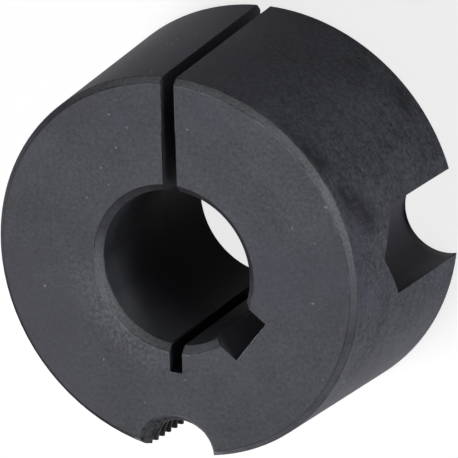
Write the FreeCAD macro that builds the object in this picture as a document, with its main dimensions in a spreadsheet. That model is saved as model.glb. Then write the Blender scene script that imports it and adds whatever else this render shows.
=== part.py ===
"""Taper bush: the split, tapered clamping sleeve that fixes a pulley or sprocket hub to a shaft.

It is turned from one piece of grey iron. The outside tapers 4 degrees a side towards the small end. A keyway
runs through the bore, and the wall is sawn through once, so that the bush closes on the shaft as two grub
screws draw it into the hub. A relief groove opposite the cut lets the ring flex. Three half-holes run along
the outside, whose other halves are in the hub. Two are plain, open at the large end and blind, and take the
clamping screws. The third is drilled through for a thread, and takes a screw that pushes the bush out again.

Frame, in millimetres and degrees: Z is the axis of the bore, the large end's face is at Z = 0, the small end
is above it, and the saw cut opens towards +Y. Angles are measured about Z from +X.
"""

import FreeCAD, Part
import os
import Sketcher

VECTOR = FreeCAD.Vector
FULL_TURN = 360
COUNTERSINK_ANGLE = 90

# A datum plane, and the bush's axis as a sketch on that plane has it.
FLAT = ("XY_Plane", VECTOR(0, 0, 1))
UPRIGHT = ("XZ_Plane", VECTOR(0, 1, 0))

DIMENSIONS = [
    ("large_end_diameter", 47.625, "outside diameter of the cone at the large end's face"),
    ("overall_length", 25.4, "from the large end's face to the small end's face"),
    ("taper_angle", 4, "slope of the outside against the axis, a side"),
    ("large_rim_chamfer", 0.8, "45 degree chamfer round the large end's rim"),
    ("small_rim_chamfer", 0.65, "45 degree chamfer round the small end's rim"),
    ("bore_diameter", 18, "shaft diameter that the bush clamps"),
    ("large_mouth_chamfer", 0.25, "45 degree chamfer at the bore's large-end mouth"),
    ("small_mouth_chamfer", 0.85, "45 degree chamfer at the bore's small-end mouth"),
    ("saw_cut_angle", 90, "direction of the cut through the wall"),
    ("saw_cut_width", 1.6, "width of the cut, and of the relief groove opposite"),
    ("relief_groove_depth", 3.1, "depth of the relief groove below the bore's wall"),
    ("keyway_angle", -37.5, "direction of the keyway"),
    ("keyway_width", 6, "width of the shaft's key"),
    ("keyway_depth", 2.8, "depth of the keyway below the bore's wall, on its centre line"),
    ("clamp_hole_setback", 1.41, "plain half-holes' axes, measured inwards from the large end's radius"),
    ("clamp_hole_angle", 4.9, "direction of the first plain half-hole; the second is half a turn on"),
    ("clamp_hole_diameter", 10.1, "clearance round a 3/8 inch grub screw"),
    ("clamp_hole_floor", 10.5, "metal left between a plain half-hole's full diameter and the small end"),
    ("clamp_mouth_chamfer", 0.75, "45 degree countersink of the plain half-holes at the large end"),
    ("drill_point_angle", 110, "included angle of the blind end that the drill leaves"),
    ("removal_hole_setback", 1.67, "threaded half-hole's axis, measured inwards in the same way"),
    ("removal_hole_angle", -90.6, "direction of the threaded half-hole"),
    ("removal_core_diameter", 7.5, "core of the 3/8 inch thread of 16 turns to the inch"),
    ("removal_mouth_diameter", 9.9, "countersink at both ends of the threaded half-hole"),
    ("removal_mouth_angle", 82, "included angle of that countersink"),
]

# Radii that several outlines share, as expressions of the sheet.
BORE_RADIUS = "Sizes.bore_diameter / 2"
CONE_RADIUS = "Sizes.large_end_diameter / 2"
CLAMP_HOLE_PLACE = f"{CONE_RADIUS} - Sizes.clamp_hole_setback"
REMOVAL_HOLE_PLACE = f"{CONE_RADIUS} - Sizes.removal_hole_setback"


def size_sheet(doc):
    """The sheet that holds every driving dimension, its alias and what it measures."""
    sheet = doc.addObject("Spreadsheet::Sheet", "Sizes")
    for row, (alias, value, meaning) in enumerate(DIMENSIONS, start=1):
        sheet.set(f"A{row}", alias)
        sheet.set(f"B{row}", str(value))
        sheet.setAlias(f"B{row}", alias)
        sheet.set(f"C{row}", meaning)
    doc.recompute()
    return sheet


def origin_part(body, role):
    """A datum plane or axis of the body's own origin."""
    return next(feature for feature in body.Origin.OriginFeatures if feature.Role == role)


def datum_sketch(body, name, plane, angle=None):
    """An empty sketch on one of the body's datum planes, turned about the bush's axis by an expression."""
    role, bush_axis = plane
    sketch = body.newObject("Sketcher::SketchObject", name)
    sketch.AttachmentSupport = (origin_part(body, role), [""])
    sketch.MapMode = "FlatFace"
    if angle:
        sketch.AttachmentOffset = FreeCAD.Placement(VECTOR(), FreeCAD.Rotation(bush_axis, 1))
        sketch.setExpression("AttachmentOffset.Rotation.Angle", angle)
    return sketch


def bind(sketch, kind, *place_and_value, expression):
    """A dimension of the sketch whose value follows an expression of the sheet."""
    index = sketch.addConstraint(Sketcher.Constraint(kind, *place_and_value))
    sketch.setExpression(f"Constraints[{index}]", expression)


def outline(sketch, corners):
    """A closed outline of straight lines, each corner held at an X and a Y given by expressions."""
    places = [tuple(float(sketch.evalExpression(text)) for text in corner) for corner in corners]
    count = len(places)
    for line, (x, y) in enumerate(places):
        end_x, end_y = places[(line + 1) % count]
        sketch.addGeometry(Part.LineSegment(VECTOR(x, y, 0), VECTOR(end_x, end_y, 0)))
    for line in range(count):
        sketch.addConstraint(Sketcher.Constraint("Coincident", line, 2, (line + 1) % count, 1))
    for line, (x, y) in enumerate(places):
        x_text, y_text = corners[line]
        bind(sketch, "DistanceX", -1, 1, line, 1, x, expression=x_text)
        bind(sketch, "DistanceY", -1, 1, line, 1, y, expression=y_text)


def cone_radius_at(height):
    """The radius of the tapered outside at a height above the large end, as an expression."""
    return f"{CONE_RADIUS} - ({height}) * tan(Sizes.taper_angle * 1 deg)"


def turned_blank(body):
    """The blank off the lathe: bore, cone, two faces and their four chamfers, from one half section."""
    top = "Sizes.overall_length"
    small_rim = f"{top} - Sizes.small_rim_chamfer"
    sketch = datum_sketch(body, "half_section", UPRIGHT)
    outline(sketch, [
        (f"{BORE_RADIUS} + Sizes.large_mouth_chamfer", "0"),
        (f"{CONE_RADIUS} - Sizes.large_rim_chamfer", "0"),
        (cone_radius_at("Sizes.large_rim_chamfer"), "Sizes.large_rim_chamfer"),
        (cone_radius_at(small_rim), small_rim),
        (f"{cone_radius_at(top)} - Sizes.small_rim_chamfer", top),
        (f"{BORE_RADIUS} + Sizes.small_mouth_chamfer", top),
        (BORE_RADIUS, f"{top} - Sizes.small_mouth_chamfer"),
        (BORE_RADIUS, "Sizes.large_mouth_chamfer"),
    ])
    blank = body.newObject("PartDesign::Revolution", "turned_blank")
    blank.Profile = sketch
    blank.ReferenceAxis = (sketch, ["V_Axis"])
    blank.Angle = FULL_TURN
    return blank


def clamp_holes(doc, body):
    """The two plain half-holes, drilled and countersunk from the large end, with the drill's point inside."""
    sketch = datum_sketch(body, "clamp_hole_centre", FLAT, "Sizes.clamp_hole_angle")
    distance = float(sketch.evalExpression(CLAMP_HOLE_PLACE))
    diameter = float(sketch.evalExpression("Sizes.clamp_hole_diameter"))
    sketch.addGeometry(Part.Circle(VECTOR(distance, 0, 0), VECTOR(0, 0, 1), diameter / 2))
    sketch.addConstraint(Sketcher.Constraint("PointOnObject", 0, 3, -1))
    bind(sketch, "DistanceX", -1, 1, 0, 3, distance, expression=CLAMP_HOLE_PLACE)
    bind(sketch, "Diameter", 0, diameter, expression="Sizes.clamp_hole_diameter")
    doc.recompute()
    hole = body.newObject("PartDesign::Hole", "clamp_hole")
    hole.Profile = sketch
    hole.Reversed = True
    hole.ThreadType = "None"
    hole.HoleCutType = "Countersink"
    hole.HoleCutCountersinkAngle = COUNTERSINK_ANGLE
    hole.DepthType = "Dimension"
    hole.DrillPoint = "Angled"
    hole.DrillForDepth = False
    hole.setExpression("Diameter", "Sizes.clamp_hole_diameter")
    hole.setExpression("HoleCutDiameter", "Sizes.clamp_hole_diameter + 2 * Sizes.clamp_mouth_chamfer")
    hole.setExpression("Depth", "Sizes.overall_length - Sizes.clamp_hole_floor")
    hole.setExpression("DrillPointAngle", "Sizes.drill_point_angle")
    doc.recompute()
    pair = body.newObject("PartDesign::PolarPattern", "clamp_hole_pair")
    pair.Originals = [hole]
    pair.Axis = (origin_part(body, "Z_Axis"), [""])
    pair.Angle = FULL_TURN
    pair.Occurrences = 2
    body.Tip = pair
    return [hole, pair]


def removal_hole(body):
    """The removal screw's half-hole, drilled through and countersunk at both ends, ready to be tapped."""
    core_radius = f"{REMOVAL_HOLE_PLACE} + Sizes.removal_core_diameter / 2"
    mouth_radius = f"{REMOVAL_HOLE_PLACE} + Sizes.removal_mouth_diameter / 2"
    mouth_width = "(Sizes.removal_mouth_diameter - Sizes.removal_core_diameter) / 2"
    mouth_depth = f"{mouth_width} / tan(Sizes.removal_mouth_angle * 0.5 deg)"
    top = "Sizes.overall_length"
    sketch = datum_sketch(body, "removal_hole_section", UPRIGHT, "Sizes.removal_hole_angle")
    outline(sketch, [
        (REMOVAL_HOLE_PLACE, top),
        (REMOVAL_HOLE_PLACE, "0"),
        (mouth_radius, "0"),
        (core_radius, mouth_depth),
        (core_radius, f"{top} - {mouth_depth}"),
        (mouth_radius, top),
    ])
    cut = body.newObject("PartDesign::Groove", "removal_hole")
    cut.Profile = sketch
    cut.ReferenceAxis = (sketch, ["Edge1"])
    cut.Angle = FULL_TURN
    return cut


def straight_slot(body, name, angle, width, reach):
    """A slot cut from the bore outwards along the whole length: saw cut, relief groove or keyway."""
    sketch = datum_sketch(body, f"{name}_outline", FLAT, angle)
    left, right = f"-{width} / 2", f"{width} / 2"
    outline(sketch, [("0", left), (reach, left), (reach, right), ("0", right)])
    slot = body.newObject("PartDesign::Pocket", name)
    slot.Profile = sketch
    slot.Type = "ThroughAll"
    slot.Reversed = True
    return slot


def taper_bush(doc):
    """The whole bush: the turned blank, then the cuts in the order in which they are made."""
    body = doc.addObject("PartDesign::Body", "taper_bush")
    body.Label = "taper_bush"
    key_reach = f"{BORE_RADIUS} + Sizes.keyway_depth"
    groove_reach = f"{BORE_RADIUS} + Sizes.relief_groove_depth"
    groove_angle = f"Sizes.saw_cut_angle + {FULL_TURN / 2}"
    steps = [turned_blank(body)]
    steps += clamp_holes(doc, body)
    steps.append(removal_hole(body))
    steps.append(straight_slot(body, "keyway", "Sizes.keyway_angle", "Sizes.keyway_width", key_reach))
    steps.append(straight_slot(body, "relief_groove", groove_angle, "Sizes.saw_cut_width", groove_reach))
    steps.append(straight_slot(body, "saw_cut", "Sizes.saw_cut_angle", "Sizes.saw_cut_width", CONE_RADIUS))
    body.Tip = steps[-1]
    doc.recompute()
    return body, steps


def check_document(doc, steps):
    """Nothing is in error, and every cut takes metal off the step before it."""
    for item in doc.Objects:
        if "Invalid" in item.State or "Error" in item.State:
            raise RuntimeError(f"{item.Name} failed: {item.State}")
    for before, after in zip(steps, steps[1:]):
        if after.Shape.Volume >= before.Shape.Volume:
            raise RuntimeError(f"{after.Name} takes no metal off")


def write_part(body):
    """Write the body's one solid under its own name."""
    shape = body.Shape
    if shape.isNull() or not shape.isValid() or len(shape.Solids) != 1:
        raise RuntimeError(f"{body.Label} isn't one valid solid")
    shape.exportStep(os.path.join("parts", f"{body.Label}.step"))
    print(f"{body.Label}: {shape.Volume:.1f} cubic millimetres, {len(shape.Faces)} faces")


os.makedirs("parts", exist_ok=True)
document = FreeCAD.newDocument("taper_bush")
size_sheet(document)
bush, cuts = taper_bush(document)
check_document(document, cuts)
write_part(bush)
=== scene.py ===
import bmesh
import bpy
import numpy as np
from mathutils import Matrix


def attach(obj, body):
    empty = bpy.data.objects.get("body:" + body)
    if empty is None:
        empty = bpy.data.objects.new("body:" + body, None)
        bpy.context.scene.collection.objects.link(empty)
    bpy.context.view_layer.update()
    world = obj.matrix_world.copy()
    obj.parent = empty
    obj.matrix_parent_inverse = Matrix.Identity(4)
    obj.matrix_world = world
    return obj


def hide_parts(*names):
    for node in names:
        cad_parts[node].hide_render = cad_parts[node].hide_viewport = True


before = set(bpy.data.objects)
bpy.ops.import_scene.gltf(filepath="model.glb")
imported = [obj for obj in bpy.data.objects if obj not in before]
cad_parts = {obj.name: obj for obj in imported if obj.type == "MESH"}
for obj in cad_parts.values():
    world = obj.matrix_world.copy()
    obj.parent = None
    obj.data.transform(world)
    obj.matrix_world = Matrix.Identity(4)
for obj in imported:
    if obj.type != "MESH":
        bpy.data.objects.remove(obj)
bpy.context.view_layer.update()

MILLIMETRE = 0.001
TINY = 1e-6


# The tapered outside. The real bush is a grey iron casting, turned to an 8 degree taper with both rims
# chamfered. Its outside is laid out as four arcs between the saw cut and the three screws' half holes.
# Lengths are in millimetres and angles in radians, measured about the bore's axis from +X.
large_end_radius = 23.8125
overall_length = 25.4
taper_angle = np.radians(4)
large_rim_chamfer = 0.8
small_rim_chamfer = 0.65
saw_cut_half_width = 0.8


def outside_radius(height):
    """Radius of the turned outside: the large end's radius less the height times the tangent of the
    taper, and each rim cut back by its chamfer, read along the profile's three straight lines."""
    heights = np.array([0, large_rim_chamfer, overall_length - small_rim_chamfer, overall_length])
    radii = large_end_radius - heights * np.tan(taper_angle)
    radii[0] -= large_rim_chamfer
    radii[-1] -= small_rim_chamfer
    return np.interp(height, heights, radii)


def on_circle(radius, angle, height):
    """Point of a circle about the bush's axis: radius times the cosine and sine of the angle, at a height."""
    radius, angle, height = np.broadcast_arrays(radius, angle, height)
    return np.stack([radius * np.cos(angle), radius * np.sin(angle), height], axis=-1)


def turned_arc(radius, first, last, steps, heights):
    """Grid on a turned wall: at each height the angle goes in even steps from the first to the last
    angle there, on the circle of the wall's radius."""
    angles = first[:, None] + (last - first)[:, None] * steps[None, :]
    return on_circle(radius[:, None], angles, heights[:, None])


# The clamp half holes. Two plain holes are drilled half into the rim from the large end, and countersunk
# there, for the grub screws that pull the bush into its hub. Each ends in the drill's point, which breaks
# out of the taper.
clamp_hole_circle = 22.4025
clamp_hole_radius = 5.05
clamp_hole_floor = 14.9
clamp_mouth_chamfer = 0.75
drill_point_half_angle = np.radians(55)
clamp_hole_angles = np.radians([184.9, 364.9])
clamp_hole_apex = clamp_hole_floor + clamp_hole_radius / np.tan(drill_point_half_angle)


def clamp_wall_radius(height):
    """Radius of the drilled wall: the drill's own up to the floor, wider by a cone of 45 degrees at the
    mouth, and beyond the floor shrinking by the tangent of the point's half angle for each
    millimetre, down to almost nothing at the apex."""
    countersink = np.maximum(clamp_mouth_chamfer - height, 0)
    beyond = np.maximum(height - clamp_hole_floor, 0)
    return np.maximum(clamp_hole_radius + countersink - beyond * np.tan(drill_point_half_angle), TINY)


def lip_turn(screw_circle, wall_radius, height):
    """Angle at a screw's axis, from the way to the bush's axis, where a wall of that radius meets the
    outside: the law of cosines on the screw circle, the wall and the outside. It is half a turn
    where the whole circle lies inside."""
    reach = screw_circle ** 2 + wall_radius ** 2 - outside_radius(height) ** 2
    return np.arccos(np.clip(reach / (2 * screw_circle * wall_radius), -1, 1))


def about_screw(screw_circle, hole_angle, wall_radius, turn, height):
    """Point of a screw hole's wall: from the screw's axis, the wall's radius times the cosine of the
    turn towards the bush's axis, and times its sine across."""
    along = screw_circle - wall_radius * np.cos(turn)
    across = wall_radius * np.sin(turn)
    x = along * np.cos(hole_angle) - across * np.sin(hole_angle)
    y = along * np.sin(hole_angle) + across * np.cos(hole_angle)
    return np.stack(np.broadcast_arrays(x, y, height), axis=-1)


def clamp_lip_bearing(height):
    """Angle at the bush's axis between a clamp hole's axis and its lip, which is nothing above the height
    where the drill's point leaves the outside."""
    wall_radius = clamp_wall_radius(height)
    turn = lip_turn(clamp_hole_circle, wall_radius, height)
    bearing = np.arctan2(wall_radius * np.sin(turn), clamp_hole_circle - wall_radius * np.cos(turn))
    return np.where(height < breakout_height() - TINY, bearing, 0)


def breakout_height():
    """Height at which the drill's point leaves the outside: there the screw circle and the point's
    radius together are the outside's radius, so it solves one straight-line equation."""
    gap = large_end_radius - clamp_hole_circle - clamp_hole_radius
    gap -= clamp_hole_floor * np.tan(drill_point_half_angle)
    return gap / (np.tan(taper_angle) - np.tan(drill_point_half_angle))


# The removal half hole. It is drilled right through half of the rim, countersunk at both ends and
# tapped, so that a screw in it jacks the bush out of its hub. Its thread is cut here, not in the solid.
removal_hole_circle = 22.1425
removal_hole_angle = np.radians(269.4)
removal_core_radius = 3.75
removal_mouth_radius = 4.95
removal_mouth_half_angle = np.radians(41)
thread_major_radius = 4.7625
thread_pitch = 1.5875
thread_half_angle = np.radians(27.5)
thread_start = 0.453
thread_root_flat = 0.03
thread_rounding = 0.07


def removal_wall_radius(height, turn):
    """Radius of the tapped wall. The height in pitches plus the turn in turns says how far round the
    right-handed thread a point is. From the root line the flank closes in by the cotangent of
    the half angle, held between the core and the major radius with soft corners. The countersink
    is the larger of this and a cone that narrows from the nearer mouth."""
    turns = height / thread_pitch + turn / (2 * np.pi) + thread_start
    from_root = np.abs(turns - np.round(turns)) * thread_pitch
    sharp_root = thread_major_radius + thread_root_flat * thread_pitch
    flank = sharp_root - from_root / np.tan(thread_half_angle)
    held = 0.5 * (flank + removal_core_radius + np.hypot(flank - removal_core_radius, thread_rounding))
    held = 0.5 * (held + thread_major_radius - np.hypot(held - thread_major_radius, thread_rounding))
    from_mouth = np.minimum(height, overall_length - height)
    return np.maximum(held, removal_mouth_radius - from_mouth * np.tan(removal_mouth_half_angle))


def removal_lip_turn(height, side):
    """Turn at which the tapped wall meets the outside on one side. The wall's radius there depends on
    the turn itself, so the law of cosines is applied again to its own answer until it settles."""
    turn = np.full(height.shape, side * np.pi / 2)
    rounds_to_settle = 12
    for _ in range(rounds_to_settle):
        turn = side * lip_turn(removal_hole_circle, removal_wall_radius(height, turn), height)
    return turn


# The bore. It is turned with a small chamfer at each mouth, broached with a keyway for the shaft's key,
# and sawn with a relief groove opposite the saw cut, where the bush flexes as it closes on its shaft.
bore_radius = 9.0
large_mouth_chamfer = 0.25
small_mouth_chamfer = 0.85
keyway_angle = np.radians(322.5)
keyway_half_width = 3.0
keyway_floor = 11.8
groove_floor = 12.1
groove_corner = 0.3


def bore_wall_radius(height):
    """Radius of the bore: constant, and wider by its chamfer at each mouth, along straight lines."""
    heights = [0, large_mouth_chamfer, overall_length - small_mouth_chamfer, overall_length]
    wider = [large_mouth_chamfer, 0, 0, small_mouth_chamfer]
    return bore_radius + np.interp(height, heights, wider)


def turned(points, angle):
    """Points turned about the bush's axis by the plane rotation through the angle."""
    x, y, z = np.moveaxis(points, -1, 0)
    return np.stack([x * np.cos(angle) - y * np.sin(angle), x * np.sin(angle) + y * np.cos(angle), z], -1)


def between(first, last, steps):
    """Grid of straight lines: first plus the step times the way from first to last, row by row."""
    return first[:, None, :] + (last - first)[:, None, :] * steps[None, :, None]


def slot_in_bore(heights, half_width, floor, angle, steps, corner):
    """Grid round a straight slot in the bore's wall: a side from the bore's corner out, the floor, and
    the other side back. With a corner radius the floor is the outer half of an oblong whose
    corners are rounded by a low power of the sine and cosine."""
    side = np.full_like(heights, -half_width)
    bore_corner = np.sqrt(bore_wall_radius(heights) ** 2 - half_width ** 2)
    low = np.stack([bore_corner, side, heights], -1)
    low_floor = np.stack([np.full_like(heights, floor - corner), side, heights], -1)
    mirror = np.array([1, -1, 1])
    out_steps, floor_steps, back_steps = steps
    if corner:
        squareness = 0.3
        sweep = np.pi * (floor_steps - 0.5)
        across = half_width * np.sign(sweep) * np.abs(np.sin(sweep)) ** squareness
        along = floor - corner + corner * np.abs(np.cos(sweep)) ** squareness
        bottom = np.stack(np.broadcast_arrays(along[None, :], across[None, :], heights[:, None]), -1)
    else:
        bottom = between(low_floor, low_floor * mirror, floor_steps)
    out = between(low, low_floor, out_steps)
    back = between(low_floor * mirror, low * mirror, back_steps)
    return turned(np.concatenate([out, bottom[:, 1:], back[:, 1:]], axis=1), angle)


# The whole skin. All patches share one list of heights and one list of columns, so that their borders
# fall on the same points. A screw hole takes a fan of columns on each side of its axis, and a strip beside
# the thread's fan joins its fine rows to the outside's, which stop at a margin from its axis.
middle_radius = 14.5
fan = np.radians(25)
lip_strip = np.radians(1.7)
lip_margin = np.radians(14.6)
breakout = breakout_height()
rows_below, rows_above = 12, 8
toward_breakout = breakout - (breakout - clamp_hole_floor) * (np.linspace(1, 0, rows_below) ** 2)
heights = np.unique(np.round(np.concatenate([
    [0, large_mouth_chamfer, clamp_mouth_chamfer],
    np.linspace(large_rim_chamfer, clamp_hole_floor, rows_below),
    toward_breakout,
    np.linspace(breakout, overall_length - small_mouth_chamfer, rows_above)[1:],
    [overall_length - small_rim_chamfer, overall_length],
]), 6))

outside_radii, bore_radii = outside_radius(heights), bore_wall_radius(heights)
saw_at_outside = np.arcsin(saw_cut_half_width / outside_radii)
saw_at_bore = np.arcsin(saw_cut_half_width / bore_radii)
saw_at_middle = np.arcsin(saw_cut_half_width / middle_radius)
key_at_bore = np.arcsin(keyway_half_width / bore_radii)
quarter, whole = np.pi / 2, 2 * np.pi

# Where each patch begins and ends, as angles on the middle circle that the end faces are ruled over.
outside_marks = np.array([
    quarter + saw_at_middle,
    clamp_hole_angles[0] - fan, clamp_hole_angles[0] + fan,
    removal_hole_angle - fan - lip_strip, removal_hole_angle - fan,
    removal_hole_angle + fan, removal_hole_angle + fan + lip_strip,
    clamp_hole_angles[1] - fan, clamp_hole_angles[1] + fan,
    quarter + whole - saw_at_middle,
])
groove_angle = 3 * quarter
groove_half, groove_floor_half = np.radians(5.6), np.radians(4.4)
key_half, key_floor_half = np.radians(20), np.radians(13.5)
bore_marks = np.array([
    quarter + saw_at_middle,
    groove_angle - groove_half, groove_angle - groove_floor_half,
    groove_angle + groove_floor_half, groove_angle + groove_half,
    keyway_angle - key_half, keyway_angle - key_floor_half,
    keyway_angle + key_floor_half, keyway_angle + key_half,
    quarter + whole - saw_at_middle,
])


def columns():
    """Angles of all columns on the middle circle: every mark, and between two marks even steps of at
    most 2 degrees, or less where the column ends on a screw hole's wall."""
    at_thread, at_drilled_wall, elsewhere = 0.7, 1.1, 2.0
    marks = np.unique(np.round(np.concatenate([outside_marks, bore_marks]), 9))
    pieces = []
    for low, high in zip(marks[:-1], marks[1:]):
        middle = (low + high) / 2
        at_clamp_hole = np.abs(middle - clamp_hole_angles).min() < fan
        from_removal_hole = abs(middle - removal_hole_angle)
        step = at_thread if from_removal_hole < fan else at_drilled_wall if at_clamp_hole else elsewhere
        count = max(1, int(np.ceil(np.degrees(high - low) / step)))
        pieces.append(np.linspace(low, high, count, endpoint=False))
    return np.append(np.concatenate(pieces), marks[-1])


stations = columns()


def steps_between(low, high):
    """Share of the way from one mark to the next at each column from the one to the other."""
    inside = stations[(stations > low - TINY) & (stations < high + TINY)]
    return (inside - low) / (high - low)


outside_steps = [steps_between(*pair) for pair in zip(outside_marks[:-1], outside_marks[1:])]
bore_steps = [steps_between(*pair) for pair in zip(bore_marks[:-1], bore_marks[1:])]

clamp_lip = clamp_lip_bearing(heights)
margin_low = np.full_like(heights, removal_hole_angle - lip_margin)
margin_high = np.full_like(heights, removal_hole_angle + lip_margin)
outside_first, outside_second, outside_third, outside_fourth = (
    turned_arc(outside_radii, first, last, outside_steps[i], heights) for first, last, i in (
        (quarter + saw_at_outside, clamp_hole_angles[0] - clamp_lip, 0),
        (clamp_hole_angles[0] + clamp_lip, margin_low, 2),
        (margin_high, clamp_hole_angles[1] - clamp_lip, 6),
        (clamp_hole_angles[1] + clamp_lip, whole + quarter - saw_at_outside, 8)))

in_hole = heights < breakout + TINY
point_rows = 5
hole_heights = np.append(heights[in_hole], np.linspace(breakout, clamp_hole_apex, point_rows)[1:])


def clamp_hole_wall(hole_angle, steps):
    """Grid on a drilled wall: at each height the turn goes from one lip to the other in even steps, a
    whole turn where the point lies inside, and on to the apex."""
    wall_radius = clamp_wall_radius(hole_heights)
    lip = lip_turn(clamp_hole_circle, wall_radius, hole_heights)
    turn = np.where(hole_heights > breakout - TINY, np.pi, lip)[:, None] * (2 * steps[None, :] - 1)
    return about_screw(clamp_hole_circle, hole_angle, wall_radius[:, None], turn, hole_heights[:, None])


clamp_walls = [clamp_hole_wall(angle, outside_steps[i]) for angle, i in zip(clamp_hole_angles, (1, 7))]

thread_row_height = 0.1
rows_each = np.ceil(np.diff(heights) / thread_row_height - TINY).astype(int)
row_starts = np.concatenate([[0], np.cumsum(rows_each)])
thread_heights = np.interp(np.arange(row_starts[-1] + 1), row_starts, heights)
low_turn, high_turn = removal_lip_turn(thread_heights, -1), removal_lip_turn(thread_heights, 1)
thread_turn = low_turn[:, None] + (high_turn - low_turn)[:, None] * outside_steps[4][None, :]
removal_wall = about_screw(
    removal_hole_circle, removal_hole_angle, removal_wall_radius(thread_heights[:, None], thread_turn),
    thread_turn, thread_heights[:, None])

groove_wall = slot_in_bore(
    heights, saw_cut_half_width, groove_floor, groove_angle, bore_steps[1:4], groove_corner)
keyway_wall = slot_in_bore(heights, keyway_half_width, keyway_floor, keyway_angle, bore_steps[5:8], 0)
bore_first, bore_second, bore_third = (
    turned_arc(bore_radii, first, last, bore_steps[i], heights) for first, last, i in (
        (quarter + saw_at_bore, groove_angle - saw_at_bore, 0),
        (groove_angle + saw_at_bore, keyway_angle - key_at_bore, 4),
        (keyway_angle + key_at_bore, whole + quarter - saw_at_bore, 8)))
bore_wall = np.concatenate(
    [bore_first, groove_wall[:, 1:], bore_second[:, 1:], keyway_wall[:, 1:], bore_third[:, 1:]], axis=1)


def outside_border(row, thread_row, clamp_borders):
    """The outside's border on one end face, column by column: arcs, clamp holes and removal hole."""
    return np.concatenate([
        outside_first[row], clamp_borders[0][1:-1], outside_second[row],
        removal_wall[thread_row], outside_third[row], clamp_borders[1][1:-1], outside_fourth[row]])


# Above a clamp hole's point its fan shrinks to a seam, where the outside's arcs on both sides of it meet.
seams = [np.repeat(arc[-1:, -1], len(wall[0]), axis=0)
         for arc, wall in zip((outside_first, outside_third), clamp_walls)]
large_border = outside_border(0, 0, [wall[0] for wall in clamp_walls])
small_border = outside_border(-1, -1, seams)


def ruled(outer, middle, inner, outer_rows=4, inner_rows=3):
    """Rows from an outer line to a middle line and on to an inner one, each straight between the two."""
    first = outer + (middle - outer) * np.linspace(0, 1, outer_rows + 1)[:, None, None]
    last = middle + (inner - middle) * np.linspace(0, 1, inner_rows + 1)[1:, None, None]
    return np.concatenate([first, last])


large_face = ruled(large_border, on_circle(middle_radius, stations, 0.0), bore_wall[0])
small_face = ruled(small_border, on_circle(middle_radius, stations, overall_length), bore_wall[-1])
middle_at_cut = on_circle(middle_radius, np.full_like(heights, quarter + saw_at_middle), heights)
mirror_x = np.array([-1, 1, 1])
cut_left = np.moveaxis(ruled(outside_first[:, 0], middle_at_cut, bore_wall[:, 0]), 0, 1)
cut_right = np.moveaxis(ruled(outside_fourth[:, -1], middle_at_cut * mirror_x, bore_wall[:, -1]), 0, 1)


def grid_faces(shape, first, turned_over):
    """Quads of a grid of that many rows and columns whose points start at an index: each cell's four
    corners in order, the other way round where the patch faces back."""
    rows, cols = shape
    corner = first + np.arange(rows - 1)[:, None] * cols + np.arange(cols - 1)[None, :]
    quads = np.stack([corner, corner + 1, corner + cols + 1, corner + cols], axis=-1).reshape(-1, 4)
    return (quads[:, ::-1] if turned_over else quads).tolist()


patches = [
    ("outside_first", outside_first, False), ("outside_second", outside_second, False),
    ("outside_third", outside_third, False), ("outside_fourth", outside_fourth, False),
    ("clamp_wall_1", clamp_walls[0], False), ("clamp_wall_2", clamp_walls[1], False),
    ("removal_wall", removal_wall, False), ("bore_wall", bore_wall, True),
    ("large_face", large_face, True), ("small_face", small_face, False),
    ("cut_left", cut_left, True), ("cut_right", cut_right, False),
]
points, faces = [], []
first_point, faces_of = {}, {}
point_count = 0
for name, grid, turned_over in patches:
    first_point[name] = point_count
    points.append(grid.reshape(-1, 3))
    quads = grid_faces(grid.shape[:2], point_count, turned_over)
    faces_of[name] = slice(len(faces), len(faces) + len(quads))
    faces += quads
    point_count += len(points[-1])

# Beside the thread the outside's coarse rows meet the thread's fine ones: one face for each coarse row.
second_cols, thread_cols, third_cols = outside_second.shape[1], removal_wall.shape[1], outside_third.shape[1]
for row, (low, high) in enumerate(zip(row_starts[:-1], row_starts[1:])):
    fine = first_point["removal_wall"] + np.arange(low, high + 1) * thread_cols
    coarse = first_point["outside_second"] + np.array([row + 1, row + 2]) * second_cols - 1
    faces.append([int(coarse[0]), *fine.tolist(), int(coarse[1])])
    fine += thread_cols - 1
    coarse = first_point["outside_third"] + np.array([row, row + 1]) * third_cols
    faces.append([*coarse.tolist(), *fine[::-1].tolist()])

skin = bpy.data.meshes.new("taper_bush_skin")
skin.from_pydata((np.concatenate(points) * MILLIMETRE).tolist(), [], faces)
on_thread = np.zeros(len(faces), dtype=bool)
on_thread[faces_of["removal_wall"]] = True
skin.attributes.new("on_thread", "BOOLEAN", "FACE").data.foreach_set("value", on_thread)

# Each face's finish: by patch, and on the outside and the bore by the rows that are chamfers.
face_iron, taper_iron, rim_iron, bore_iron, cut_iron, edge_iron = range(6)
finish_of_patch = {
    "large_face": face_iron, "small_face": face_iron, "clamp_wall_1": cut_iron, "clamp_wall_2": cut_iron,
    "removal_wall": cut_iron, "cut_left": cut_iron, "cut_right": cut_iron,
}


def rows_on_chamfers(large_chamfer, small_chamfer):
    """Whether each row of faces lies wholly within the chamfer at the large or at the small end."""
    return (heights[1:] < large_chamfer + TINY) | (heights[:-1] > overall_length - small_chamfer - TINY)


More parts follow.
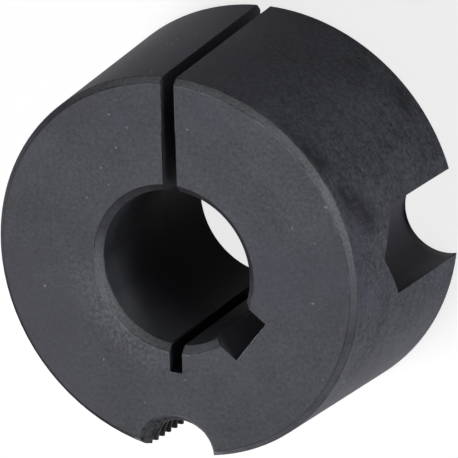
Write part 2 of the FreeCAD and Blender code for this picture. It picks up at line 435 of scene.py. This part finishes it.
taper_rows = np.where(rows_on_chamfers(large_rim_chamfer, small_rim_chamfer), rim_iron, taper_iron)
bore_rows = np.where(rows_on_chamfers(large_mouth_chamfer, small_mouth_chamfer), rim_iron, bore_iron)
by_row = -1
bore_columns = np.concatenate([np.full(part.shape[1] - 1, finish) for part, finish in (
    (bore_first, by_row), (groove_wall, bore_iron), (bore_second, by_row), (keyway_wall, cut_iron),
    (bore_third, by_row))])
bore_finishes = np.where(bore_columns == by_row, bore_rows[:, None], bore_columns)
finish_of_face = np.full(len(faces), taper_iron, dtype=np.int32)
for name, grid, _ in patches:
    if name == "bore_wall":
        finish_of_face[faces_of[name]] = bore_finishes.ravel()
    elif name.startswith("outside"):
        finish_of_face[faces_of[name]] = np.repeat(taper_rows, grid.shape[1] - 1)
    else:
        finish_of_face[faces_of[name]] = finish_of_patch[name]
skin.polygons.foreach_set("material_index", finish_of_face)
bush = bpy.data.objects.new("taper_bush_skin", skin)
bpy.context.scene.collection.objects.link(bush)

# The patches are welded into one shell, and its edges are broken, except on the thread.
weld_distance = 0.002 * MILLIMETRE
sharp_from = np.radians(28)
shell = bmesh.new()
shell.from_mesh(skin)
bmesh.ops.remove_doubles(shell, verts=shell.verts, dist=weld_distance)
bmesh.ops.recalc_face_normals(shell, faces=shell.faces)
weight = shell.edges.layers.float.new("bevel_weight_edge")
thread_layer = shell.faces.layers.bool["on_thread"]
for edge in shell.edges:
    sharp = edge.calc_face_angle() > sharp_from
    edge.smooth = not sharp
    if sharp and not any(face[thread_layer] for face in edge.link_faces):
        edge[weight] = 1.0
for face in shell.faces:
    face.smooth = True
shell.to_mesh(skin)
shell.free()

edge_break = bush.modifiers.new("edge_break", "BEVEL")
edge_break.width = 0.08 * MILLIMETRE
edge_break.segments = 2
edge_break.limit_method = "WEIGHT"
edge_break.use_clamp_overlap = False
edge_break.harden_normals = True


# The finish: grey iron that was machined, phosphated black and oiled, so it is dark, satin and a little
# bluish. The clouds are the phosphate's, and the lines and the grain are what each cut left under it.
class Finish:
    """A material's nodes, added one by one; a socket is given as a node or as a plain number."""

    def __init__(self, name):
        self.material = bpy.data.materials.new(name)
        self.material.use_nodes = True
        self.tree = self.material.node_tree
        self.shader = self.tree.nodes["Principled BSDF"]

    def add(self, kind, *sockets, out=0, **settings):
        """Adds a node, sets its settings, and feeds its inputs in order; None leaves an input alone."""
        node = self.tree.nodes.new("ShaderNode" + kind)
        for key, value in settings.items():
            setattr(node, key, value)
        for socket, value in zip(node.inputs, sockets):
            self.feed(socket, value)
        return node.outputs[out]

    def feed(self, socket, value):
        """Links a node's output to a socket, or sets the socket to a number or colour."""
        if value is None:
            return
        if isinstance(value, bpy.types.NodeSocket):
            self.tree.links.new(value, socket)
        else:
            socket.default_value = value

    def math(self, operation, first, second=None, third=None):
        return self.add("Math", first, second, third, operation=operation)

    def product(self, first, *others):
        """The values multiplied together."""
        for other in others:
            first = self.math("MULTIPLY", first, other)
        return first

    def ramp(self, value, low, high, to_low=0.0, to_high=1.0):
        """Straight ramp from to_low at low to to_high at high, held flat beyond both."""
        return self.add("MapRange", value, low, high, to_low, to_high, clamp=True)

    def noise(self, scale, detail=2.0, roughness=0.5, place=None):
        """Noise of that many spots to the millimetre, about 0 to 1."""
        return self.add("TexNoise", self.place if place is None else place, None, scale, detail, roughness)

    def blend(self, share, first, second):
        """Colour that goes from the first to the second as the share goes from 0 to 1."""
        node = self.tree.nodes.new("ShaderNodeMix")
        node.data_type = "RGBA"
        for name, value in (("Factor_Float", share), ("A_Color", first), ("B_Color", second)):
            socket = next(item for item in node.inputs if item.identifier == name)
            self.feed(socket, (*value, 1) if isinstance(value, tuple) else value)
        return next(item for item in node.outputs if item.identifier == "Result_Color")

    def tint(self, share, colour):
        """Takes the finish's colour that share of the way to another colour."""
        self.colour = self.blend(share, self.colour, colour)

    def shade(self, share, change, start=1.0):
        """Makes the finish's colour lighter or darker: times the start, plus the change times the share."""
        factor = self.math("MULTIPLY_ADD", share, change, start)
        self.colour = self.add("VectorMath", self.colour, None, None, factor, operation="SCALE")

    def toward(self, azimuth, low, high):
        """0 to 1 as a point's distance from the axis towards an azimuth goes from low to high."""
        azimuth = np.radians(azimuth)
        across = self.math("MULTIPLY", self.y, float(np.sin(azimuth)))
        return self.ramp(self.math("MULTIPLY_ADD", self.x, float(np.cos(azimuth)), across), low, high)

    def near(self, spots, reach):
        """1 at any of some spots, given in millimetres, falling evenly to nothing at the reach from it."""
        share = 0.0
        for spot in spots:
            away = self.add("VectorMath", self.place, spot, out="Value", operation="DISTANCE")
            share = self.math("MAXIMUM", share, self.ramp(away, reach, 0))
        return share


def black_iron(name, shade, clouds, lines, grain, gloss, grain_size=1.2):
    """A black finish. Its tone is one half plus the weighted noises less their own halves: wide clouds,
    smaller ones, lines along the cut and a fine grain. It goes from a dark to a light colour, evenly
    about the finish's own, which is the shade times the black's, and is violet in wide patches."""
    finish = Finish(name)
    per_metre = (1 / MILLIMETRE,) * 3
    finish.place = finish.add("Mapping", finish.add("TexCoord", out="Object"), None, None, per_metre)
    split = finish.tree.nodes.new("ShaderNodeSeparateXYZ")
    finish.feed(split.inputs[0], finish.place)
    finish.x, finish.y, finish.z = split.outputs
    finish.radius = finish.math("SQRT", finish.math(
        "ADD", finish.product(finish.x, finish.x), finish.product(finish.y, finish.y)))
    outward = finish.math("MULTIPLY_ADD", finish.radius, 5.0, finish.product(finish.z, 4.0))
    sideways = (finish.product(item, 0.2) for item in (finish.x, finish.y))
    drawn_out = finish.add("CombineXYZ", outward, *sideways)
    finish.lines = finish.noise(1.0, 3, 0.65, drawn_out)
    finish.grain = finish.noise(grain_size, 5, 0.85)
    layers = ((finish.noise(0.13, 3, 0.55), clouds), (finish.noise(0.45, 3, 0.6), 0.5 * clouds),
              (finish.lines, lines), (finish.grain, grain))
    tone = 0.5
    for noise, weight in layers:
        tone = finish.math("MULTIPLY_ADD", finish.math("SUBTRACT", noise, 0.5), weight, tone)
    dark, light, violet = (tuple(shade * value for value in colour) for colour in (
        (0.0112, 0.0116, 0.0141), (0.1320, 0.1370, 0.1640), (0.068, 0.066, 0.096)))
    finish.colour = finish.blend(finish.ramp(tone, 0, 1), dark, light)
    finish.tint(finish.ramp(finish.noise(0.10), 0.50, 0.66, 0.0, 0.4), violet)
    finish.shader.inputs["Specular IOR Level"].default_value = gloss
    return finish


def finished(finish, roughness=0.46, line_depth=0.35):
    """The material: its colour, a roughness that follows the grain, and a bump of grain and lines."""
    finish.feed(finish.shader.inputs["Base Color"], finish.colour)
    rougher = roughness + 0.14
    finish.feed(finish.shader.inputs["Roughness"], finish.ramp(finish.grain, 0.3, 0.7, roughness, rougher))
    bump = finish.tree.nodes.new("ShaderNodeBump")
    bump.inputs["Strength"].default_value = 0.5
    bump.inputs["Distance"].default_value = 0.02 * MILLIMETRE
    finish.feed(bump.inputs["Height"], finish.math("MULTIPLY_ADD", finish.lines, line_depth, finish.grain))
    finish.feed(finish.shader.inputs["Normal"], bump.outputs[0])
    skin.materials.append(finish.material)


def speckled(finish, low, high):
    """A few specks of bright dust on the colour, where a small noise peaks."""
    dust_grey = (0.24, 0.24, 0.25)
    finish.tint(finish.ramp(finish.noise(1.6, 0), low, high), dust_grey)


# The two end faces are faced on the lathe. Painted light and shade make them lighter towards 35 degrees and
# darker towards 215 degrees, as the light falls across them. They are also a little darker near the rim at
# -25 degrees, and a band beside the bore is scratched grey.
faced = black_iron("black_faced_iron", 1.01, clouds=0.4, lines=0.2, grain=1.55, gloss=0.14, grain_size=2.2)
# Painted light and shade across the face: lighter towards 35 degrees, darker towards 215.
faced.shade(faced.toward(215, -18, 18), -0.27, 1.14)
outer_band = faced.product(faced.ramp(faced.radius, 15, 19), faced.toward(-25, 8, 16))
faced.shade(outer_band, -0.10)
scratches = faced.ramp(faced.noise(2.2, 4, 0.8), 0.44, 0.64, 0.0, 0.9)
beside_bore = faced.product(faced.toward(224, 7.5, 10.5), faced.ramp(faced.radius, 13.5, 10.2))
scratched_grey = (0.165, 0.168, 0.178)
faced.tint(faced.product(scratches, beside_bore), scratched_grey)
speckled(faced, 0.85, 0.87)
finished(faced)

# The taper is finely turned. Its black is more violet at 140 degrees, beside the saw cut. Between the cut
# and the nearer clamp hole it is scuffed grey where the bush was gripped, with smudges of oil near the rims.
tapered = black_iron("black_turned_iron", 1.57, clouds=0.8, lines=0.6, grain=2.6, gloss=0.06, grain_size=1.9)
violet_black = (0.084, 0.079, 0.118)
tapered.tint(tapered.product(tapered.toward(140, 10, 18), 0.75), violet_black)
# Painted shade: the taper is darker towards 122 degrees and, less, towards 322 degrees.
tapered.shade(tapered.toward(122, 11, 21), -0.24)
tapered.shade(tapered.toward(322, 16, 22), -0.15)
mottled = tapered.ramp(tapered.noise(0.8, 5, 0.85), 0.44, 0.66, 0.0, 0.75)
gripped = tapered.near([(18.0, 14.0, 13.5), (20.3, 10.0, 13.0)], 9.0)
scuffed_grey = (0.165, 0.169, 0.193)
tapered.tint(tapered.product(mottled, gripped), scuffed_grey)
oil_spots = [(15.9, 15.5, 23.6), (17.0, 14.0, 23.4), (19.8, 10.2, 22.4), (20.4, 9.2, 21.6),
             (20.9, 7.9, 20.6), (21.4, 6.8, 19.8), (17.7, 15.7, 2.7), (18.4, 14.6, 3.4)]
smeared = tapered.ramp(tapered.noise(0.9, 3, 0.6), 0.35, 0.60, 0.3, 1.5)
oily_black = (0.045, 0.046, 0.055)
tapered.tint(tapered.product(tapered.near(oil_spots, 2.2), smeared), oily_black)
speckled(tapered, 0.83, 0.85)
finished(tapered)


def grey_patches_and_highlight(finish, patch_size, least, grey_and_highlight):
    """Bare grey iron in patches, which is also a painted highlight on the lit side: on a rim most of all at
    55 degrees, by the square of the way there, and at the bore's mouths at 230 degrees. Painted shade keeps
    the black thicker on the rims at 165, 222 and 285 degrees, and at the mouths at 55 degrees."""
    patchy = finish.product(finish.noise(patch_size, 5, 0.8), 1.35)
    patchy = finish.math("MULTIPLY_ADD", finish.lines, 0.35, patchy)
    patchy = finish.ramp(patchy, 0.68, 1.00, least, 1.0)
    between_mouth_and_rim = 16.0
    on_rim = finish.math("GREATER_THAN", finish.radius, between_mouth_and_rim)
    # Partly worn patches and partly a painted highlight: at 55 degrees on a rim, at 230 at a mouth.
    rim_rub_and_highlight = finish.math("POWER", finish.toward(55, 4, 19.5), 2.0)
    rub_and_highlight = finish.add("MapRange", on_rim, 0, 1, finish.toward(230, 3, 9), rim_rub_and_highlight)
    from_middle = finish.math("ABSOLUTE", finish.math("SUBTRACT", finish.z, overall_length / 2))
    rub_and_highlight = finish.product(rub_and_highlight, finish.ramp(from_middle, 11.0, 12.0))
    # Painted shade: the black is kept thick on the sides where the lamps would light the chamfers.
    rim_painted_shade = finish.product(finish.toward(165, -8, 4), 0.5)
    rim_painted_shade = finish.math("MULTIPLY_ADD", finish.toward(222, 16, 20), 0.4, rim_painted_shade)
    rim_painted_shade = finish.math("MULTIPLY_ADD", finish.toward(285, 16, 21), 0.22, rim_painted_shade)
    mouth_painted_shade = finish.product(finish.toward(55, -6, 6.5), 0.88)
    shade_black = (0.010, 0.010, 0.012)
    finish.tint(finish.add("MapRange", on_rim, 0, 1, mouth_painted_shade, rim_painted_shade), shade_black)
    finish.tint(finish.product(rub_and_highlight, patchy), grey_and_highlight)


# The rims' and the bore's chamfers are rubbed to grey iron in patches, which also paint a highlight on the
# lit side, and painted shade darkens the other sides.
rim = black_iron("rim_patches_painted_highlight", 1.7, clouds=0.6, lines=0.5, grain=1.4, gloss=0.0)
warm_grey = (0.123, 0.118, 0.114)
rim.tint(0.35, warm_grey)
grey_patches_and_highlight(rim, patch_size=3.2, least=0.45, grey_and_highlight=(0.50, 0.515, 0.55))
finished(rim, roughness=0.45)

# The bore is black iron. Painted shade makes it blacker deep down, least towards 285 degrees, and painted
# light makes it greyer towards the small end, most of all towards 268 and 240 degrees, with painted shade at
# the mouth towards 208 degrees.
bore = black_iron("black_bore_painted_light_shade", 0.8, clouds=0.4, lines=0.5, grain=0.8, gloss=0.01)
on_bore = bore.math("LESS_THAN", bore.radius, bore_radius + 0.2)
# Painted light coming in at the mouth, towards 268 degrees.
painted_light_268 = bore.product(bore.ramp(bore.z, 9, 20.5), bore.toward(268, 0, 9), on_bore, 0.95)
light_grey_268 = (0.32, 0.33, 0.37)
bore.tint(painted_light_268, light_grey_268)
# Painted light towards 240 degrees.
painted_light_240 = bore.product(bore.ramp(bore.z, 15, 20, 0.0, 0.8), bore.toward(240, 7.6, 9), on_bore)
light_grey_240 = (0.45, 0.46, 0.50)
bore.tint(painted_light_240, light_grey_240)
# Painted shade at the mouth towards 208 degrees.
bore.shade(bore.product(bore.ramp(bore.z, 22, 24), bore.toward(208, 6.5, 9)), -0.35)
shade_deep_black, less_shaded_black = (0.003, 0.003, 0.0033), (0.055, 0.057, 0.066)
# Painted shade deep in the bore, least towards 285 degrees.
painted_depth_shade = bore.blend(bore.toward(285, 2, 9.5), shade_deep_black, less_shaded_black)
bore.tint(bore.ramp(bore.z, 23.5, 9.5, 0.0, 0.97), painted_depth_shade)
finished(bore, roughness=0.36)

# The drilled, tapped, broached and sawn walls have a coarser grain and are darker in the thread, with black
# pits there. Painted light lightens the keyway's wall on the removal hole's side, the removal hole's
# countersink at the small end, and the saw cut's walls towards the outside.
drilled = black_iron("black_drilled_iron", 0.74, clouds=0.4, lines=0.6, grain=1.2, gloss=0.10)
in_thread = drilled.toward(np.degrees(removal_hole_angle), 16.5, 18.0)
thread_black, pit_black = (0.018, 0.018, 0.021), (0.015, 0.015, 0.018)
drilled.tint(drilled.product(in_thread, drilled.ramp(drilled.z, 24.6, 22.4, 0.0, 0.8)), thread_black)
# Painted light on the saw cut's walls towards the outside.
drilled.shade(drilled.toward(90, 18, 21), 0.7)
above_key_floor = drilled.toward(np.degrees(keyway_angle), keyway_floor - 0.1, keyway_floor - 0.6)
# Painted light on the keyway's wall near the small end.
painted_key_light = drilled.product(drilled.near([(6.3, -8.0, 24.8)], 9.0), 1.1, above_key_floor)
key_light_grey, mouth_light_grey = (0.20, 0.205, 0.23), (0.150, 0.153, 0.162)
drilled.tint(painted_key_light, key_light_grey)
# Painted light on the removal hole's countersink at the small end.
drilled.tint(drilled.product(drilled.near([(-4.9, -21.3, 25.0)], 4.5), 0.6), mouth_light_grey)
pits = drilled.ramp(drilled.noise(1.1, 3, 0.7), 0.48, 0.60, 0.0, 0.85)
drilled.tint(drilled.product(pits, in_thread), pit_black)
finished(drilled, roughness=0.50, line_depth=0.8)

# The broken edges are rubbed through to grey iron in patches, with the rims' painted highlight and shade, and
# the keyway's corners at the small end carry a painted highlight.
edges = black_iron("edge_patches_painted_highlight", 1.0, clouds=0.4, lines=0.0, grain=0.8, gloss=0.04)
grey_patches_and_highlight(edges, patch_size=0.45, least=0.1, grey_and_highlight=(0.34, 0.35, 0.38))
key_corners = [(11.0, -3.4, 25.4), (11.2, -5.0, 25.4), (10.2, -7.0, 25.4), (8.6, -8.9, 25.4)]
at_small_end = edges.ramp(edges.z, overall_length - 0.2, overall_length - 0.1)
# Painted highlight on the keyway's corners at the small end.
bright = edges.product(at_small_end, edges.near(key_corners, 2.4), edges.ramp(edges.grain, 0.42, 0.62))
key_highlight_grey = (0.42, 0.43, 0.46)
edges.tint(bright, key_highlight_grey)
finished(edges, roughness=0.42)
edge_break.material = edge_iron

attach(bush, "root")
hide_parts("taper_bush")


# The table: a plain white sheet under the bush's large end. The camera, glossy and clear rays see it
# mostly white by itself, with a share of its lit colour, so that the bush's shadow stays on it.
table_half_width = 3
table_corners = [
    (x * table_half_width, y * table_half_width, 0) for x, y in ((-1, -1), (1, -1), (1, 1), (-1, 1))]
table_mesh = bpy.data.meshes.new("table")
table_mesh.from_pydata(table_corners, [], [(0, 1, 2, 3)])
table = bpy.data.objects.new("table", table_mesh)
bpy.context.scene.collection.objects.link(table)

white_table = Finish("white_table")
white_table.shader.inputs["Base Color"].default_value = (0.3, 0.3, 0.3, 1)
white_table.shader.inputs["Roughness"].default_value = 1.0
white_table.shader.inputs["Specular IOR Level"].default_value = 0.0
ray_kinds = white_table.tree.nodes.new("ShaderNodeLightPath").outputs
seen_directly = white_table.math("MAXIMUM", ray_kinds["Is Camera Ray"], ray_kinds["Is Glossy Ray"])
seen_directly = white_table.math("MAXIMUM", seen_directly, ray_kinds["Is Transmission Ray"])
glow_strength = 0.8
glow = white_table.add("Emission", (1, 1, 1, 1), white_table.product(seen_directly, glow_strength))
white_table.feed(
    white_table.tree.nodes["Material Output"].inputs["Surface"],
    white_table.add("AddShader", white_table.shader.outputs[0], glow))
table_mesh.materials.append(white_table.material)

# The studio: even light from a white room, which the camera sees at full strength, and three large soft
# lamps round the bush.
world = bpy.data.worlds.new("studio")
world.use_nodes = True
backdrop = world.node_tree.nodes["Background"]
backdrop.inputs["Color"].default_value = (1, 1, 1, 1)
from_camera = world.node_tree.nodes.new("ShaderNodeLightPath").outputs["Is Camera Ray"]
brightness = world.node_tree.nodes.new("ShaderNodeMapRange")
room_light = 0.06
brightness.inputs["To Min"].default_value = room_light
brightness.inputs["To Max"].default_value = 1.0
world.node_tree.links.new(from_camera, brightness.inputs["Value"])
world.node_tree.links.new(brightness.outputs[0], backdrop.inputs["Strength"])
bpy.context.scene.world = world

lamp_size = 0.9
lamp_distance = 1.6
bush_middle = np.array([0, 0, overall_length / 2 * MILLIMETRE])


def soft_lamp(name, azimuth, elevation, strength):
    """A square lamp on a sphere about the bush: azimuth from +X towards +Y and height above the table in
    degrees, its own +Z pointing away from the bush's middle. Its power is pi squared times the
    distance squared, so that strength 1 lights a facing surface like a white room."""
    azimuth, elevation = np.radians([azimuth, elevation])
    level = np.array([np.cos(azimuth), np.sin(azimuth), 0])
    away = level * np.cos(elevation) + np.array([0, 0, np.sin(elevation)])
    across = np.cross([0, 0, 1], level)
    facing = Matrix(np.stack([across, np.cross(away, across), away]).T.tolist()).to_4x4()
    data = bpy.data.lights.new(name, "AREA")
    data.size = lamp_size
    data.energy = strength * np.pi ** 2 * lamp_distance ** 2
    lamp = bpy.data.objects.new(name, data)
    lamp.matrix_world = Matrix.Translation(away * lamp_distance + bush_middle) @ facing
    bpy.context.scene.collection.objects.link(lamp)


soft_lamp("main_lamp", azimuth=-140, elevation=40, strength=0.72)
soft_lamp("low_lamp", azimuth=-150, elevation=12, strength=0.80)
soft_lamp("side_lamp", azimuth=-22, elevation=12, strength=0.43)

# The camera stands where the photograph was taken from. Its turn is an axis times an angle in radians,
# from the bush's frame to its own, and its place is the bush's origin as the camera sees it, in metres.
picture_pixels = 458
focal_pixels = 3805.4
camera_turn = np.array([0.3368, -0.4535, -0.0512])
origin_from_camera = (0.0049167, 0.0032704, -0.44098)
camera_data = bpy.data.cameras.new("camera")
camera_data.sensor_width = 36
camera_data.lens = focal_pixels / picture_pixels * camera_data.sensor_width
camera_data.clip_start = 0.01
camera_data.clip_end = 20
camera = bpy.data.objects.new("camera", camera_data)
bpy.context.scene.collection.objects.link(camera)
turn_angle = np.linalg.norm(camera_turn)
bush_to_camera = Matrix.Rotation(turn_angle, 4, camera_turn / turn_angle)
bush_to_camera.translation = origin_from_camera
camera.matrix_world = bush_to_camera.inverted()
bpy.context.scene.camera = camera
bpy.context.scene.view_settings.view_transform = "Standard"
